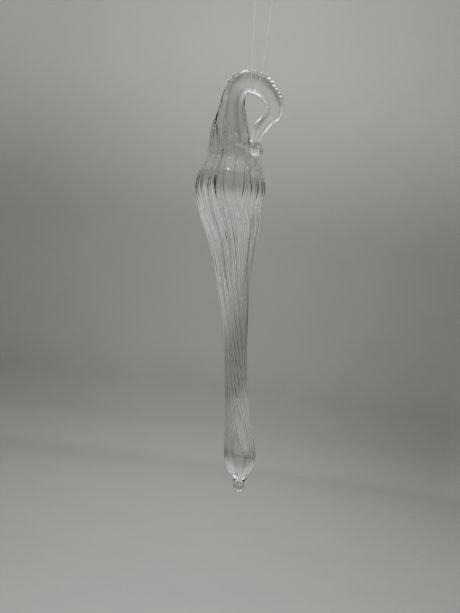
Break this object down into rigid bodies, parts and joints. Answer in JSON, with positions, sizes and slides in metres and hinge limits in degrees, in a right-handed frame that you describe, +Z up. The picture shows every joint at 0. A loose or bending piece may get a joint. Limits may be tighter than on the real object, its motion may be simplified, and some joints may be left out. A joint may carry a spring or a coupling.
{
  "type": "glass icicle ornament",
  "caption": "Clear, fluted and twisted glass icicle with a serrated hanging loop, a bud and a nub at its tip, on a clear nylon line.",
  "frame": {"origin": "under the crown of the glass loop, where the hanging line bears", "axes": "+Z up along the plumb line, with the icicle hanging below; +X towards the side that the loop's tail comes down on; -Y towards the front, where the tail's round end is"},
  "size_m": [0.0342, 0.021, 0.183],
  "materials": {
    "clear_glass": "fire-polished clear solid glass",
    "clear_nylon": "clear smooth monofilament"
  },
  "bodies": {
    "root": {"glass_icicle": "clear_glass", "hanging_line": "clear_nylon"}
  },
  "joints": []
}
